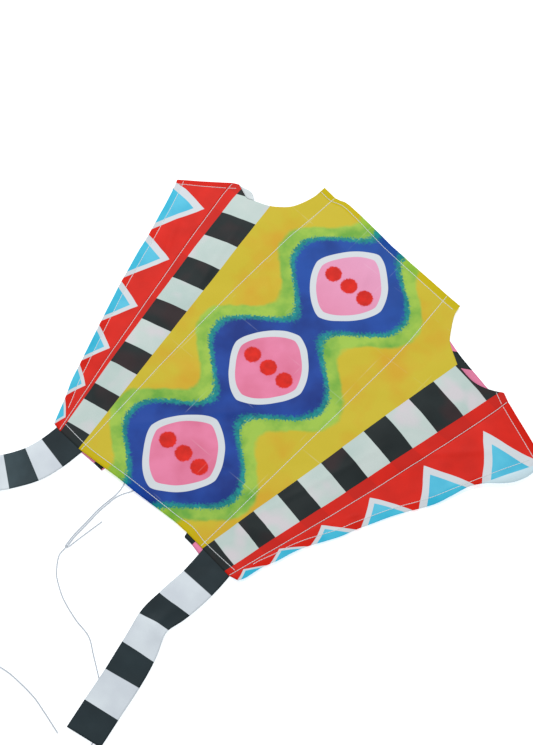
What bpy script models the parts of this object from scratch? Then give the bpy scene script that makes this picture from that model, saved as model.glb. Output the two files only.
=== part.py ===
"""A pocket kite: a soft sled kite with two ram-air cells, keels, tails and a bridle.

The kite lies spread on a floor with its printed face up. +Y points from the tails to the
leading edge, +X to the kite's right as seen from above, and +Z up. The origin is on the
floor, midway between the leading edge and the ends of the tails.
"""

import bpy
import bmesh
from mathutils import Vector
from mathutils.geometry import interpolate_bezier

# Driving dimensions of the cloth, in metres. Each half-width is measured from the spine.
KITE_LENGTH = 0.530
CENTRE_LEADING_HALF = 0.113
CENTRE_TRAILING_HALF = 0.110
HEM_END_HALF = 0.137
SEAM_LEADING_HALF = 0.267
SEAM_LEADING_SETBACK = 0.076
SEAM_TRAILING_HALF = 0.162
KEEL_TIP_HALF = 0.345
KEEL_TIP_SETBACK = 0.116
KEEL_FOOT_HALF = 0.1735
KEEL_FOOT_SETBACK = 0.528
TAIL_REACH = 0.285
TAIL_WIDTH = 0.050
TAIL_ROOT_CENTRE = 0.136

# Heights and thicknesses. The cloth lies over the cords, and its hems come down to the floor.
CLOTH_THICKNESS = 0.0010
CLOTH_UNDERSIDE = 0.0021
HEM_WIDTH = 0.012
PART_GAP = 0.0003
CELL_OUTER_HEIGHT = 0.013
CELL_INNER_HEIGHT = 0.015

# Where the bands of a cell's top sheet meet at the air inlet and at the trailing edge, and how
# the edges of the two sheets are hollowed there.
RED_BAND_INLET_HALF = 0.248
STRIPED_BAND_INLET_HALF = 0.190
RED_BAND_FOOT_WIDTH = 0.005
YELLOW_BAND_FOOT_WIDTH = 0.004
INLET_HOLLOW = 0.0145
INLET_BOW = 8
LOWER_SHEET_SETBACK = 0.045
LOWER_SHEET_BOW = 1.6

# The cords: two bridle lines from the keel tips to one knot, and the flying line from it.
CORD_DIAMETER = 0.0018
CORD_CLEARANCE = 0.00005
KNOT_RADIUS = 0.0026
KNOT_HEIGHT = 0.0030
TIE_RADIUS = 0.0025
TIE_HEIGHT = 0.0017
CORD_SPACING = 0.011

CORD_HEIGHT = CORD_CLEARANCE + CORD_DIAMETER / 2
TRAILING_Y = -(KITE_LENGTH - TAIL_REACH) / 2
LEADING_Y = TRAILING_Y + KITE_LENGTH
CLOTH_TOP = CLOTH_UNDERSIDE + CLOTH_THICKNESS
TOP_SHEET_UNDERSIDE = CLOTH_TOP + PART_GAP
KNOT_CENTRE = Vector((-0.0300, TRAILING_Y - 0.1163, CORD_CLEARANCE + KNOT_HEIGHT / 2))

COLOURS = {
    "centre": (0.02, 0.09, 0.33),
    "yellow": (0.67, 0.50, 0.06),
    "red": (0.73, 0.02, 0.02),
    "stripes": (0.50, 0.58, 0.58),
    "lower": (0.80, 0.27, 0.42),
    "tail": (0.06, 0.08, 0.09),
    "cord": (0.80, 0.83, 0.86),
}


def clear_scene():
    """Remove every object that the scene starts with."""
    for scene_object in list(bpy.data.objects):
        bpy.data.objects.remove(scene_object, do_unlink=True)


def make_material(name, colour, roughness):
    """A Principled material of one plain colour."""
    material = bpy.data.materials.new(name)
    material.use_nodes = True
    shader = material.node_tree.nodes["Principled BSDF"]
    shader.inputs["Base Color"].default_value = (*colour, 1.0)
    shader.inputs["Roughness"].default_value = roughness
    shader.inputs["Metallic"].default_value = 0.0
    return material


def make_empty(name, location, collection):
    """An empty on a joint's axis, which the joint's moving pieces hang from."""
    empty = bpy.data.objects.new(name, None)
    empty.location = location
    empty.empty_display_size = 0.02
    collection.objects.link(empty)
    return empty


def attach(piece, colour, roughness, collection, parent):
    """Link a piece to the kite's collection, give it its material and hang it from its parent."""
    piece.data.materials.clear()
    piece.data.materials.append(make_material(piece.name, COLOURS[colour], roughness))
    collection.objects.link(piece)
    piece.parent = parent
    piece.location = piece.location - parent.location
    return piece


def blend(start, end, fraction):
    """The point or number a fraction of the way from start to end."""
    return start + (end - start) * fraction


def cloth_sheet(name, rows):
    """A closed sheet of cloth whose underside passes through rows of points."""
    mesh = bpy.data.meshes.new(name)
    sheet = bmesh.new()
    grid = [[sheet.verts.new(point) for point in row] for row in rows]
    for near_row, far_row in zip(grid, grid[1:]):
        for column in range(len(near_row) - 1):
            corners = (near_row[column], near_row[column + 1], far_row[column + 1], far_row[column])
            sheet.faces.new(corners)
    bmesh.ops.recalc_face_normals(sheet, faces=sheet.faces)
    if sum(face.normal.z for face in sheet.faces) < 0:
        bmesh.ops.reverse_faces(sheet, faces=sheet.faces)
    sheet.to_mesh(mesh)
    sheet.free()
    piece = bpy.data.objects.new(name, mesh)
    solidify = piece.modifiers.new("cloth thickness", "SOLIDIFY")
    solidify.thickness = CLOTH_THICKNESS
    solidify.offset = 1.0
    return piece


def centre_panel():
    """The flat centre of the canopy, with its leading and trailing hems down on the floor."""
    columns = (-1.0, -0.62, -0.48, -0.06, 0.10, 0.55, 1.0)
    columns_over_bridle = (-0.48, -0.06)
    depths = (0.0, HEM_WIDTH, KITE_LENGTH / 2, KITE_LENGTH - HEM_WIDTH, KITE_LENGTH)
    rows = []
    for depth in depths:
        half = blend(CENTRE_TRAILING_HALF, CENTRE_LEADING_HALF, depth / KITE_LENGTH)
        row = []
        for column in columns:
            on_hem = depth in (0.0, KITE_LENGTH)
            over_bridle = depth == 0.0 and column in columns_over_bridle
            height = 0.0 if on_hem and not over_bridle else CLOTH_UNDERSIDE
            row.append((column * half, TRAILING_Y + depth, height))
        rows.append(row)
    return cloth_sheet("centre_panel", rows)


def top_inlet_y(half):
    """Where a top sheet's edge lies at the air inlet, half from the spine.

    The edge runs straight along the leading hem as far as the hem's end, turns back there and
    sweeps outward in a hollow curve to the keel seam.
    """
    along = max(0.0, (half - HEM_END_HALF) / (SEAM_LEADING_HALF - HEM_END_HALF))
    drop = (SEAM_LEADING_SETBACK + INLET_HOLLOW) * (1.0 - (1.0 - along) ** INLET_BOW)
    return LEADING_Y - drop + INLET_HOLLOW * along


def lower_inlet_y(half):
    """Where a lower sheet's edge lies at the air inlet, half from the spine."""
    along = (half - CENTRE_LEADING_HALF) / (SEAM_LEADING_HALF - CENTRE_LEADING_HALF)
    bowed = 1.0 - (1.0 - min(1.0, along)) ** LOWER_SHEET_BOW
    return LEADING_Y - blend(LOWER_SHEET_SETBACK, SEAM_LEADING_SETBACK, bowed)


def cell_lower_sheet(prefix, side):
    """The lower sheet of a ram-air cell, between the centre seam and the keel seam."""
    steps = 8
    inner_lead = CENTRE_LEADING_HALF + PART_GAP
    outer_lead = SEAM_LEADING_HALF - PART_GAP / 2
    rows = []
    for depth in (0.0, 0.5, 0.93, 1.0):
        inner = blend(CENTRE_TRAILING_HALF + PART_GAP, inner_lead, depth)
        outer = blend(SEAM_TRAILING_HALF - PART_GAP / 2, outer_lead, depth)
        height = CLOTH_UNDERSIDE if depth < 1.0 else 0.0
        row = []
        for step in range(steps + 1):
            across = step / steps
            far_y = lower_inlet_y(blend(inner_lead, outer_lead, across))
            row.append((side * blend(inner, outer, across), blend(TRAILING_Y, far_y, depth), height))
        rows.append(row)
    return cloth_sheet(f"{prefix}_cell_lower_sheet", rows)


# The long lines of a cell's top sheet: the distance from the spine at the trailing edge and at
# the inlet, and the rise at the inlet.
CELL_LINES = {
    "keel_seam": (SEAM_TRAILING_HALF - PART_GAP / 2, SEAM_LEADING_HALF - PART_GAP / 2, 0.0),
    "red_edge": (SEAM_TRAILING_HALF - RED_BAND_FOOT_WIDTH, RED_BAND_INLET_HALF, CELL_OUTER_HEIGHT),
    "yellow_edge": (CENTRE_TRAILING_HALF + YELLOW_BAND_FOOT_WIDTH, STRIPED_BAND_INLET_HALF,
                    CELL_INNER_HEIGHT),
    "centre_seam": (CENTRE_TRAILING_HALF, CENTRE_LEADING_HALF, 0.0),
}


# Where the yellow band's columns stand between its two lines: one is at the leading hem's end.
HEM_END_FRACTION = ((HEM_END_HALF - CENTRE_LEADING_HALF)
                    / (STRIPED_BAND_INLET_HALF - CENTRE_LEADING_HALF))
YELLOW_BAND_FRACTIONS = (0.0, HEM_END_FRACTION, 0.36, 0.45, 0.60, 0.80, 1.0)


def cell_line(line, depth, gap):
    """Distance from the spine, moved by a gap, and height of a long line at a depth."""
    trailing_half, inlet_half, rise = CELL_LINES[line]
    return blend(trailing_half, inlet_half, depth) + gap, TOP_SHEET_UNDERSIDE + rise * depth ** 0.9


def top_band(name, side, outer_line, inner_line, outer_gap, inner_gap, fractions):
    """One band of a cell's arched top sheet, between two of its long lines."""
    inner_lead = cell_line(inner_line, 1.0, inner_gap)[0]
    outer_lead = cell_line(outer_line, 1.0, -outer_gap)[0]
    rows = []
    for depth in (0.0, 0.25, 0.5, 0.75, 1.0):
        inner_half, inner_height = cell_line(inner_line, depth, inner_gap)
        outer_half, outer_height = cell_line(outer_line, depth, -outer_gap)
        row = []
        for across in fractions:
            far_y = top_inlet_y(blend(inner_lead, outer_lead, across))
            row.append((side * blend(inner_half, outer_half, across),
                        blend(TRAILING_Y + PART_GAP, far_y, depth),
                        blend(inner_height, outer_height, across)))
        rows.append(row)
    return cloth_sheet(name, rows)


def keel(prefix, side):
    """A keel, spread flat beside the canopy.

    Its outer hem lies on the floor, but for the last stretch before the tip, where the bridle
    line passes under it.
    """
    seam_lead = Vector((SEAM_LEADING_HALF + PART_GAP / 2, LEADING_Y - SEAM_LEADING_SETBACK, 0))
    seam_foot = Vector((SEAM_TRAILING_HALF + PART_GAP / 2, TRAILING_Y, 0))
    tip = Vector((KEEL_TIP_HALF, LEADING_Y - KEEL_TIP_SETBACK, 0))
    foot = Vector((KEEL_FOOT_HALF, LEADING_Y - KEEL_FOOT_SETBACK, 0))
    hem_inner_edge = 0.95
    last_depth_on_floor = 0.65
    rows = []
    for depth in (0.0, 0.2, 0.4, last_depth_on_floor, 0.74, 1.0):
        row = []
        for across in (0.0, 0.5, hem_inner_edge, 1.0):
            point = blend(blend(seam_foot, seam_lead, depth), blend(foot, tip, depth), across)
            on_floor = across == 1.0 and depth <= last_depth_on_floor
            row.append((side * point.x, point.y, 0.0 if on_floor else CLOTH_UNDERSIDE))
        rows.append(row)
    return cloth_sheet(f"{prefix}_keel", rows)


def tail(prefix, side, centre_line):
    """A tail sewn to the trailing edge, lying back along its centre line.

    The inner corner of its end lies on the floor.
    """
    route = smooth_route([(x, y, 0.0) for x, y in centre_line], 0.02)
    rows = []
    for index, point in enumerate(route):
        before = route[max(0, index - 1)]
        after = route[min(len(route) - 1, index + 1)]
        outward = Vector((before.y - after.y, after.x - before.x, 0.0)).normalized() * side
        if index == 0:
            outward = Vector((side, 0.0, 0.0))
        row = []
        for offset in (-0.5, -0.2, 0.5):
            at_inner_corner = offset == -0.5 and index == len(route) - 1
            corner = point + outward * offset * TAIL_WIDTH
            row.append((corner.x, corner.y, 0.0 if at_inner_corner else CLOTH_UNDERSIDE))
        rows.append(row)
    return cloth_sheet(f"{prefix}_tail", rows)


def smooth_route(points, spacing):
    """Points at an even spacing along a smooth curve through a route's own points."""
    points = [Vector(point) for point in points]
    tangents = []
    for index, point in enumerate(points):
        before = points[max(0, index - 1)]
        after = points[min(len(points) - 1, index + 1)]
        tangents.append((after - before).normalized())
    fine = []
    for index in range(len(points) - 1):
        reach = (points[index + 1] - points[index]).length / 3
        handle_out = points[index] + tangents[index] * reach
        handle_in = points[index + 1] - tangents[index + 1] * reach
        fine += interpolate_bezier(points[index], handle_out, handle_in, points[index + 1], 24)[:-1]
    fine.append(points[-1])
    distances = [0.0]
    for before, after in zip(fine, fine[1:]):
        distances.append(distances[-1] + (after - before).length)
    count = max(2, round(distances[-1] / spacing))
    route = []
    position = 0
    for step in range(count + 1):
        distance = distances[-1] * step / count
        while position < len(distances) - 2 and distances[position + 1] < distance:
            position += 1
        stretch = distances[position + 1] - distances[position]
        fraction = (distance - distances[position]) / stretch
        route.append(blend(fine[position], fine[position + 1], fraction))
    return route


def cord(name, route, spacing):
    """A cord as a bevelled curve along its route."""
    curve = bpy.data.curves.new(name, "CURVE")
    curve.dimensions = "3D"
    curve.bevel_depth = CORD_DIAMETER / 2
    curve.bevel_resolution = 2
    curve.use_fill_caps = True
    points = smooth_route([(x, y, CORD_HEIGHT) for x, y in route], spacing)
    spline = curve.splines.new("POLY")
    spline.points.add(len(points) - 1)
    for spline_point, point in zip(spline.points, points):
        spline_point.co = (*point, 1.0)
    return bpy.data.objects.new(name, curve)


def disc(name, centre, radius, height):
    """A short upright cylinder, such as a flattened knot."""
    bpy.ops.mesh.primitive_cylinder_add(vertices=16, radius=radius, depth=height, location=centre)
    piece = bpy.context.active_object
    piece.name = name
    for collection in list(piece.users_collection):
        collection.objects.unlink(piece)
    return piece


def from_trailing_edge(route):
    """A route whose y is measured from the trailing edge, in the kite's own frame."""
    return [(x, TRAILING_Y + y) for x, y in route]


# The tails' centre lines, as they lie, from the trailing edge back. The left one splays outward.
LEFT_TAIL_LINE = from_trailing_edge([
    (-TAIL_ROOT_CENTRE, -PART_GAP), (-0.1430, -0.0350), (-0.1530, -0.0680), (-0.1720, -0.1030),
    (-0.1980, -0.1500), (-0.2230, -0.2000), (-0.2420, -0.2560),
])
RIGHT_TAIL_LINE = from_trailing_edge([
    (TAIL_ROOT_CENTRE, -PART_GAP), (0.1370, -0.0360), (0.1336, -0.0770), (0.1310, -0.1120),
    (0.1430, -0.1560), (0.1530, -0.1950), (0.1620, -0.2430), (0.1700, -0.2805),
])

TAIL_LINES = {"left": LEFT_TAIL_LINE, "right": RIGHT_TAIL_LINE}

# The cords' routes, from above. Both bridle lines run under the canopy to the trailing edge.
LEFT_BRIDLE_ROUTE = from_trailing_edge([
    (-0.3102, 0.3858), (-0.2940, 0.3560), (-0.2500, 0.3080), (-0.2050, 0.2700), (-0.1650, 0.2100),
    (-0.1400, 0.1450), (-0.1050, 0.0900), (-0.0620, 0.0520), (-0.0430, 0.0220), (-0.0349, -0.0028),
    (-0.0331, -0.0161), (-0.0342, -0.0300), (-0.0358, -0.0489), (-0.0349, -0.0772),
    (-0.0345, -0.0976), (-0.0324, -0.1139),
])
RIGHT_BRIDLE_ROUTE = from_trailing_edge([
    (0.3310, 0.4000), (0.3440, 0.4040), (0.3570, 0.3930), (0.3560, 0.3740), (0.3450, 0.3550),
    (0.3290, 0.3400), (0.2900, 0.3200), (0.2300, 0.2850), (0.1700, 0.2350), (0.1150, 0.1800),
    (0.0620, 0.1300), (0.0200, 0.0850), (-0.0030, 0.0440), (-0.0130, 0.0180), (-0.0196, 0.0014),
    (-0.0272, -0.0120), (-0.0309, -0.0235), (-0.0319, -0.0360), (-0.0331, -0.0489),
    (-0.0322, -0.0772), (-0.0318, -0.0976), (-0.0300, -0.1131),
])
LOOP_END_ROUTE = from_trailing_edge([
    (-0.0274, -0.1141), (-0.0258, -0.1000), (-0.0226, -0.0780), (-0.0196, -0.0585),
])
FLYING_LINE_ROUTE = from_trailing_edge([
    (-0.0298, -0.1193), (-0.0284, -0.1321), (-0.0125, -0.1522), (0.0008, -0.1614),
    (0.0209, -0.1712), (0.0522, -0.1797), (0.0804, -0.1842), (0.1027, -0.1976), (0.1296, -0.2144),
    (0.1580, -0.2320), (0.1770, -0.2580), (0.1850, -0.2950), (0.1800, -0.3360), (0.1530, -0.3720),
    (0.1100, -0.3960), (0.0560, -0.4060), (0.0060, -0.3930), (-0.0260, -0.3600),
    (-0.0270, -0.3200), (-0.0030, -0.2970), (0.0237, -0.2912), (0.0425, -0.2884),
    (0.0831, -0.2888), (0.1073, -0.2932), (0.1411, -0.3008),
])
TIE_PLACES = {
    "left": from_trailing_edge([(-0.3120, 0.3880)]),
    "right": from_trailing_edge([(0.3290, 0.3980)]),
}


def build():
    """Make every piece of the kite and hang it from its body."""
    clear_scene()
    collection = bpy.data.collections.new("pocket_kite")
    bpy.context.scene.collection.children.link(collection)
    canopy = make_empty("canopy", Vector((0.0, 0.0, 0.0)), collection)
    attach(centre_panel(), "centre", 0.55, collection, canopy)
    for prefix, side in (("left", -1), ("right", 1)):
        attach(cell_lower_sheet(prefix, side), "lower", 0.55, collection, canopy)
        attach(top_band(f"{prefix}_cell_red_band", side, "keel_seam", "red_edge",
                        CLOTH_THICKNESS, PART_GAP, (0.0, 0.5, 1.0)), "red", 0.55, collection, canopy)
        attach(top_band(f"{prefix}_cell_striped_band", side, "red_edge", "yellow_edge",
                        PART_GAP, PART_GAP, (0.0, 0.25, 0.5, 0.75, 1.0)), "stripes", 0.55,
               collection, canopy)
        attach(top_band(f"{prefix}_cell_yellow_band", side, "yellow_edge", "centre_seam",
                        PART_GAP, PART_GAP, YELLOW_BAND_FRACTIONS), "yellow", 0.55, collection, canopy)

        keel_hinge = make_empty(f"{prefix}_keel_hinge", Vector((
            side * (SEAM_TRAILING_HALF + SEAM_LEADING_HALF) / 2,
            TRAILING_Y + (KITE_LENGTH - SEAM_LEADING_SETBACK) / 2, CLOTH_TOP)), collection)
        attach(keel(prefix, side), "red", 0.55, collection, keel_hinge)
        tie_centre = Vector((*TIE_PLACES[prefix][0], CORD_CLEARANCE + TIE_HEIGHT / 2))
        tie = disc(f"{prefix}_bridle_tie", tie_centre, TIE_RADIUS, TIE_HEIGHT)
        attach(tie, "cord", 0.6, collection, keel_hinge)

        tail_hinge = make_empty(f"{prefix}_tail_hinge", Vector((
            side * TAIL_ROOT_CENTRE, TRAILING_Y - PART_GAP / 2, CLOTH_TOP)), collection)
        attach(tail(prefix, side, TAIL_LINES[prefix]), "tail", 0.55, collection, tail_hinge)

    routes = {
        "left_bridle_line": LEFT_BRIDLE_ROUTE,
        "right_bridle_line": RIGHT_BRIDLE_ROUTE,
        "line_loop_end": LOOP_END_ROUTE,
        "flying_line": FLYING_LINE_ROUTE,
    }
    for name, route in routes.items():
        attach(cord(name, route, CORD_SPACING), "cord", 0.6, collection, canopy)
    attach(disc("bridle_knot", KNOT_CENTRE, KNOT_RADIUS, KNOT_HEIGHT), "cord", 0.6, collection, canopy)


build()
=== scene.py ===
"""The looks of a pocket kite that lies spread on a pale floor, printed face up.

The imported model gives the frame. Each sheet of cloth is modelled here as a thin, wrinkled sheet
with hems, stitching and a printed finish, and it replaces the plain solids under it.
"""

import math

import bpy
import numpy as np
from mathutils import Matrix, Vector
from mathutils.bvhtree import BVHTree
from mathutils.geometry import interpolate_bezier


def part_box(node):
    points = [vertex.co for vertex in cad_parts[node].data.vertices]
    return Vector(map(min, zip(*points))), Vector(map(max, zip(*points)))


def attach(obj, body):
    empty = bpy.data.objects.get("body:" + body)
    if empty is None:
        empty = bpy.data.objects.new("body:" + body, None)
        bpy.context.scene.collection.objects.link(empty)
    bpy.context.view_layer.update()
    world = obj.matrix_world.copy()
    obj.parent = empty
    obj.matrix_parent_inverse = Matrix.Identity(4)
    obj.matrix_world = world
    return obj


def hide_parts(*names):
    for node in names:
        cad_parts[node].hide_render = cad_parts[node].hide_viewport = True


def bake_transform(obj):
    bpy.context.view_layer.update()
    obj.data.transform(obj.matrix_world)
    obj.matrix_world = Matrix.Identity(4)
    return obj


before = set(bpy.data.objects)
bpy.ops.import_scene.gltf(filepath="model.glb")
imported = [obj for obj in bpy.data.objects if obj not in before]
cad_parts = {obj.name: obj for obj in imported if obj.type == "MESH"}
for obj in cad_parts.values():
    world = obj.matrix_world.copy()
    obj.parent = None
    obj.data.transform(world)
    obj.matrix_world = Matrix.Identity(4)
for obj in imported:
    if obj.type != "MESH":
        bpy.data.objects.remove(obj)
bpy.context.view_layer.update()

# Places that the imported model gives. Distances called "back" are from the trailing edge.
TRAILING_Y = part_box("centre_panel")[0][1]
LEADING_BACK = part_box("centre_panel")[1][1] - TRAILING_Y
KNOT_PLACE = (Vector(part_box("bridle_knot")[0]) + Vector(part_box("bridle_knot")[1])) / 2

# The camera, fitted to the corners of the cloth in the photograph.
CAMERA_AZIMUTH = math.radians(42.489)
CAMERA_ELEVATION = math.radians(64.899)
CAMERA_ROLL = math.radians(-0.140)
CAMERA_DISTANCE = 2.2718
CAMERA_TARGET = (-0.0055, 0.2577)
FOCAL_LENGTH_PX = 1600.0
IMAGE_HEIGHT_PX = 745.0
SENSOR_SIDE_MM = 36.0

# The cloth: how thick it is, how high it lies, and how far its hems are folded.
CLOTH_THICKNESS = 0.00028
CLOTH_HEIGHT = 0.0033
LOWEST_TOP = 0.0027
TAIL_HEIGHT = 0.0024
LOWER_HEIGHT = 0.0022
HEM_WIDTH = 0.0100
GRID_STEP = 0.0030

# The corners of the cloth as it lies, (x, back). It lies a little askew, so its two sides differ.
CORNERS = {
    "left": {
        "centre_lead": (-0.1225, 0.5380), "hem_end": (-0.1451, 0.5397), "centre_foot": (-0.1150, -0.0046),
        "seam_lead": (-0.2531, 0.4545), "seam_foot": (-0.1595, -0.0033),
        "keel_tip": (-0.3220, 0.4020), "keel_foot": (-0.1709, -0.0013),
    },
    "right": {
        "centre_lead": (0.1065, 0.5245), "hem_end": (0.1312, 0.5232), "centre_foot": (0.1041, 0.0055),
        "seam_lead": (0.2778, 0.4511), "seam_foot": (0.1614, 0.0010),
        "keel_tip": (0.3660, 0.4160), "keel_foot": (0.1741, 0.0041),
    },
}

# The top sheets' edges at the air inlets, from the hem's end out to the keel seam.
INLET_EDGES = {
    "left": [(-0.1454, 0.5315), (-0.1460, 0.5210), (-0.1494, 0.5063), (-0.1534, 0.4948),
             (-0.1590, 0.4830), (-0.1675, 0.4725), (-0.1831, 0.4602), (-0.2005, 0.4530),
             (-0.2100, 0.4502), (-0.2197, 0.4490), (-0.2420, 0.4583)],
    "right": [(0.1316, 0.5200), (0.1342, 0.5076), (0.1395, 0.4960), (0.1450, 0.4865), (0.1502, 0.4777),
              (0.1568, 0.4687), (0.1654, 0.4620), (0.1728, 0.4569), (0.1813, 0.4516), (0.1879, 0.4474),
              (0.1944, 0.4460), (0.2094, 0.4426), (0.2229, 0.4412), (0.2337, 0.4428), (0.2432, 0.4461),
              (0.2555, 0.4522), (0.2640, 0.4580)],
}
YELLOW_EDGE_LEAD = {"left": (-0.1831, 0.4602), "right": (0.1879, 0.4474)}
YELLOW_FOOT_WIDTH = 0.0040
RED_STRIP_LEAD_WIDTH = 0.0185
RED_STRIP_FOOT_WIDTH = {"left": 0.0035, "right": 0.0096}
CELL_PUFF = {"left": 0.0065, "right": 0.0055}

# Where the blocks of a striped band meet, from the inlet back: beside the yellow band, and how much
# nearer to the trailing edge they meet beside the red strip, at the trailing edge and per metre from it.
BLOCK_EDGES = {
    "left": [0.5040, 0.4592, 0.4204, 0.3740, 0.3303, 0.2892, 0.2482, 0.2097, 0.1658, 0.1290, 0.0883,
             0.0610, 0.0197, -0.0200],
    "right": [0.4840, 0.4424, 0.4021, 0.3577, 0.3158, 0.2781, 0.2407, 0.2043, 0.1633, 0.1290, 0.0891,
              0.0633, 0.0234, -0.0200],
}
BLOCK_SLANT = {"left": (0.0048, 0.0205), "right": (0.0056, 0.0083)}

# How far each seam bows outward from a straight line: at shares of its length, and by how much.
SEAM_BOW = {
    ("left", "centre"): ([0.0, 0.15, 0.3, 0.45, 0.6, 0.72, 0.84, 0.93, 1.0],
                         [0.0, 0.0030, 0.0062, 0.0084, 0.0096, 0.0082, 0.0062, 0.0028, 0.0]),
    ("right", "centre"): ([0.0, 0.15, 0.3, 0.45, 0.6, 0.72, 0.82, 0.92, 1.0],
                          [0.0, 0.0022, 0.0036, 0.0056, 0.0076, 0.0086, 0.0074, 0.0034, 0.0]),
    ("left", "seam"): ([0.0, 0.25, 0.5, 0.75, 0.95, 1.0], [0.0, 0.0030, 0.0048, 0.0050, 0.0036, 0.0015]),
    ("right", "seam"): ([0.0, 0.25, 0.5, 0.75, 0.95, 1.0], [0.0, 0.0040, 0.0052, 0.0048, 0.0020, 0.0]),
}
# The band numbers from which a column bows with the keel seam.
BOW_STARTS_AT_BAND = {"left": 2.0, "right": 3.0}
# How far beside the centre seams the cloth bows with them at the air inlets.
BOW_REACH = {"left": 0.054, "right": 0.070}

# The corner of the left top sheet that is turned over at the inlet: its fold and its free edge.
TURNED_FOLD = [(-0.2074, 0.4512), (-0.2180, 0.4476), (-0.2292, 0.4520), (-0.2404, 0.4566)]
TURNED_EDGE = [(-0.2069, 0.4530), (-0.2172, 0.4592), (-0.2239, 0.4612), (-0.2338, 0.4596), (-0.2410, 0.4576)]

# The lower sheets' edges at the air inlets, from the centre seam out to the keel seam.
LOWER_EDGES = {
    "left": [(-0.1210, 0.4900), (-0.1700, 0.4600), (-0.2250, 0.4430), (-0.2520, 0.4480)],
    "right": [(0.1075, 0.4830), (0.1558, 0.4706), (0.1817, 0.4625), (0.2002, 0.4581), (0.2254, 0.4527),
              (0.2414, 0.4493), (0.2600, 0.4470), (0.2740, 0.4440)],
}

# The keels' free edges, from the foot to the tip.
KEEL_EDGES = {
    "left": [(-0.1709, -0.0013), (-0.1784, 0.0156), (-0.1887, 0.0395), (-0.2001, 0.0626), (-0.2095, 0.0880),
             (-0.2191, 0.1135), (-0.2287, 0.1393), (-0.2384, 0.1653), (-0.2482, 0.1916), (-0.2581, 0.2181),
             (-0.2670, 0.2459), (-0.2760, 0.2740), (-0.2840, 0.3033), (-0.2931, 0.3319), (-0.3024, 0.3608),
             (-0.3128, 0.3889), (-0.3190, 0.4025)],
    "right": [(0.1741, 0.0041), (0.1787, 0.0130), (0.1851, 0.0377), (0.1943, 0.0595), (0.2020, 0.0830),
              (0.2120, 0.1043), (0.2233, 0.1241), (0.2345, 0.1440), (0.2440, 0.1662), (0.2544, 0.1873),
              (0.2648, 0.2085), (0.2763, 0.2286), (0.2886, 0.2478), (0.3001, 0.2680), (0.3089, 0.2917),
              (0.3176, 0.3156), (0.3311, 0.3338), (0.3473, 0.3485), (0.3610, 0.3660), (0.3690, 0.3900),
              (0.3675, 0.4160)],
}
# Past this line the right keel's hem is rolled over, and its pale reverse shows.
ROLL_STARTS_BACK = 0.295
ROLLED_HEM = [(0.3284, 0.3316), (0.3629, 0.3994)]

# The tails' centre lines as they lie, and their width.
TAIL_WIDTH = 0.0525
TAIL_LINES = {
    "left": [(-0.1352, 0.0085), (-0.1374, 0.0010), (-0.1417, -0.0346), (-0.1497, -0.0643), (-0.1679, -0.0957),
             (-0.1870, -0.1196), (-0.2055, -0.1480), (-0.2245, -0.2000), (-0.2420, -0.2560)],
    "right": [(0.1338, 0.0175), (0.1350, 0.0090), (0.1369, -0.0360), (0.1336, -0.0770), (0.1303, -0.1120),
              (0.1425, -0.1530), (0.1530, -0.1950),
              (0.1620, -0.2430), (0.1698, -0.2825)],
}

# Where a tail's blocks meet, along its centre line, and how far each meeting leans across the tail.
TAIL_BLOCKS = {
    "left": ([-0.040, 0.0437, 0.0745, 0.1108, 0.1520, 0.1970, 0.2430, 0.2900],
             [0.0, 0.0, 0.0, 0.0, 0.0, 0.0, 0.0, 0.0]),
    "right": ([-0.040, 0.0533, 0.0949, 0.1298, 0.1756, 0.2162, 0.2645, 0.3100],
              [0.0, 0.0, -0.23, -0.10, 0.12, 0.0, 0.0, 0.0]),
}

# The cords: the same routes as the solids', (x, back), and the height of their middle.
CORD_DIAMETER = 0.0018
CORD_HEIGHT = 0.00095
CORD_SPACING = 0.0035
CORD_ROUTES = {
    "left_bridle_line": [
        (-0.3102, 0.3858), (-0.2940, 0.3560), (-0.2500, 0.3080), (-0.2050, 0.2700), (-0.1650, 0.2100),
        (-0.1400, 0.1450), (-0.1050, 0.0900), (-0.0620, 0.0520), (-0.0430, 0.0220), (-0.0349, -0.0028),
        (-0.0331, -0.0161), (-0.0342, -0.0300), (-0.0358, -0.0489), (-0.0349, -0.0772),
        (-0.0345, -0.0976), (-0.0324, -0.1139)],
    "right_bridle_line": [
        (0.3310, 0.4000), (0.3440, 0.4040), (0.3570, 0.3930), (0.3560, 0.3740), (0.3450, 0.3550),
        (0.3290, 0.3400), (0.2900, 0.3200), (0.2300, 0.2850), (0.1700, 0.2350), (0.1150, 0.1800),
        (0.0620, 0.1300), (0.0200, 0.0850), (-0.0030, 0.0440), (-0.0130, 0.0180), (-0.0196, 0.0014),
        (-0.0272, -0.0120), (-0.0309, -0.0235), (-0.0319, -0.0360), (-0.0331, -0.0489),
        (-0.0322, -0.0772), (-0.0318, -0.0976), (-0.0300, -0.1131)],
    "line_loop_end": [
        (-0.0274, -0.1141), (-0.0258, -0.1000), (-0.0226, -0.0780), (-0.0196, -0.0585)],
    "flying_line": [
        (-0.0298, -0.1193), (-0.0284, -0.1321), (-0.0125, -0.1522), (0.0008, -0.1614),
        (0.0209, -0.1712), (0.0522, -0.1797), (0.0804, -0.1842), (0.1027, -0.1976), (0.1296, -0.2144),
        (0.1580, -0.2320), (0.1770, -0.2580), (0.1850, -0.2950), (0.1800, -0.3360), (0.1530, -0.3720),
        (0.1100, -0.3960), (0.0560, -0.4060), (0.0060, -0.3930), (-0.0260, -0.3600),
        (-0.0270, -0.3200), (-0.0030, -0.2970), (0.0237, -0.2912), (0.0425, -0.2884),
        (0.0831, -0.2888), (0.1073, -0.2932), (0.1411, -0.3008)],
}


def srgb(red, green, blue):
    """A colour given as 8-bit display values, in the linear values that a shader takes."""
    def linear(value):
        value = value / 255.0
        return value / 12.92 if value <= 0.04045 else ((value + 0.055) / 1.055) ** 2.4
    return (linear(red), linear(green), linear(blue), 1.0)


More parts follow.
